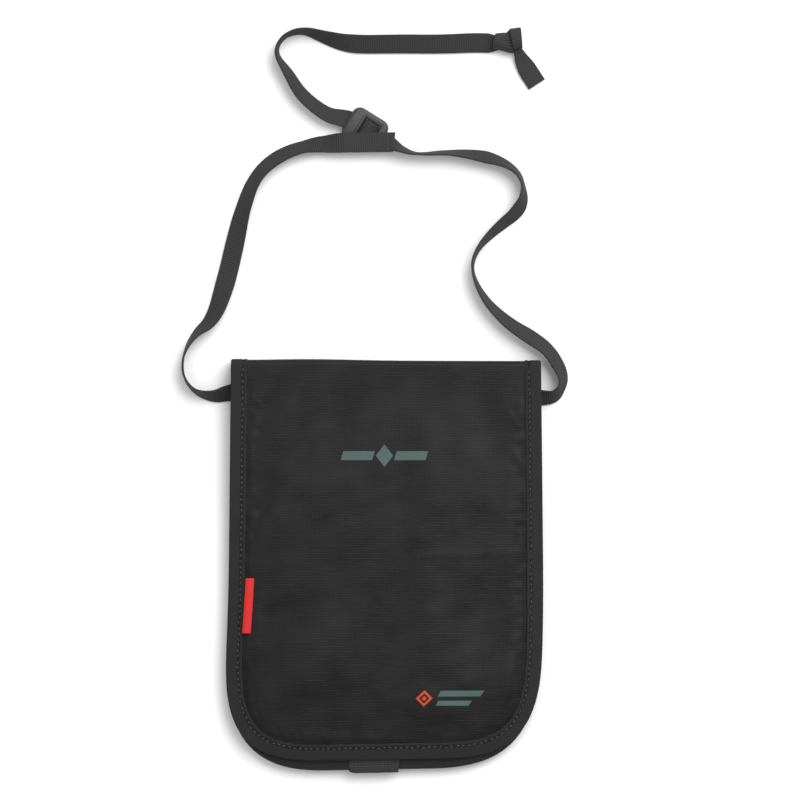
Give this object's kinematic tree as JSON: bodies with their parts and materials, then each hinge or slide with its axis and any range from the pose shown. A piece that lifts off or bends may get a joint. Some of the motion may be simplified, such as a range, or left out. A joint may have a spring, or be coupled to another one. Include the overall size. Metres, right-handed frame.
{
  "type": "neck pouch wallet",
  "caption": "Flat travel pouch worn on a webbing neck strap, with a full-front flap over a zip pocket and an open main compartment.",
  "frame": {"origin": "centre of the back face, which the pouch lies on", "axes": "+Z out through the flap, +Y towards the top fold, +X to the right when the flap is seen from the front with the fold at the top"},
  "size_m": [0.184, 0.3366, 0.012],
  "materials": {
    "shell_cloth": "polyurethane-coated ripstop, low sheen",
    "binding_tape": "matte woven edge binding",
    "lining_cloth": "plain lining cloth",
    "shield_foil": "metallised shielding cloth, satin",
    "webbing": "ribbed grosgrain webbing",
    "label_cloth": "woven label",
    "thread": "polyester thread",
    "print_ink": "screen print",
    "hook_and_loop": "hook and loop tape",
    "zip_tape": "woven zip tape",
    "zip_teeth": "nylon zip coil",
    "slider_metal": "black enamelled zinc",
    "window_film": "clear flexible film",
    "buckle_plastic": "moulded acetal"
  },
  "bodies": {
    "pouch": {"back_panel": "shell_cloth", "back_shield_foil": "shield_foil", "back_lining": "lining_cloth", "card_slot_rear": "lining_cloth", "card_slot_front": "lining_cloth", "divider_panel": "lining_cloth", "front_panel_lower": "shell_cloth", "front_panel_upper": "shell_cloth", "id_window": "window_film", "window_border": "binding_tape", "zip_tape_lower": "zip_tape", "zip_tape_upper": "zip_tape", "zip_teeth_lower": "zip_teeth", "zip_teeth_upper": "zip_teeth", "zip_end_stops": "slider_metal", "loop_patch": "hook_and_loop", "body_binding": "binding_tape", "body_thread": "thread", "top_fold": "shell_cloth", "strap_anchor_left": "webbing", "strap_anchor_right": "webbing", "neck_strap_left": "webbing", "neck_strap_right": "webbing", "neck_strap_tail": "webbing", "strap_threaded": "webbing", "strap_adjuster": "buckle_plastic", "strap_sewn_end": "webbing", "sewn_end_thread": "thread", "end_knot": "webbing", "knot_tail": "webbing"},
    "flap": {"flap_panel": "shell_cloth", "flap_shield_foil": "shield_foil", "flap_lining": "lining_cloth", "flap_binding": "binding_tape", "flap_thread": "thread", "side_label": "label_cloth", "pull_tab": "webbing", "hook_patch": "hook_and_loop", "front_print": "print_ink", "corner_print": "print_ink"},
    "zip_slider": {"zip_slider": "slider_metal"},
    "zip_pull": {"zip_pull": "slider_metal"}
  },
  "joints": [
    {"name": "flap_hinge", "type": "hinge", "parent": "pouch", "child": "flap", "pos_m": [0, 0.0917, 0.0096], "axis": [-1, 0, 0], "range_deg": [0, 170]},
    {"name": "zip_slide", "type": "slide", "parent": "pouch", "child": "zip_slider", "axis": [-1, 0, 0], "range_m": [0, 0.098]},
    {"name": "zip_pull_swing", "type": "hinge", "parent": "zip_slider", "child": "zip_pull", "pos_m": [0.0492, 0.052, 0.009], "axis": [0, 0, 1], "range_deg": [-60, 60]}
  ]
}
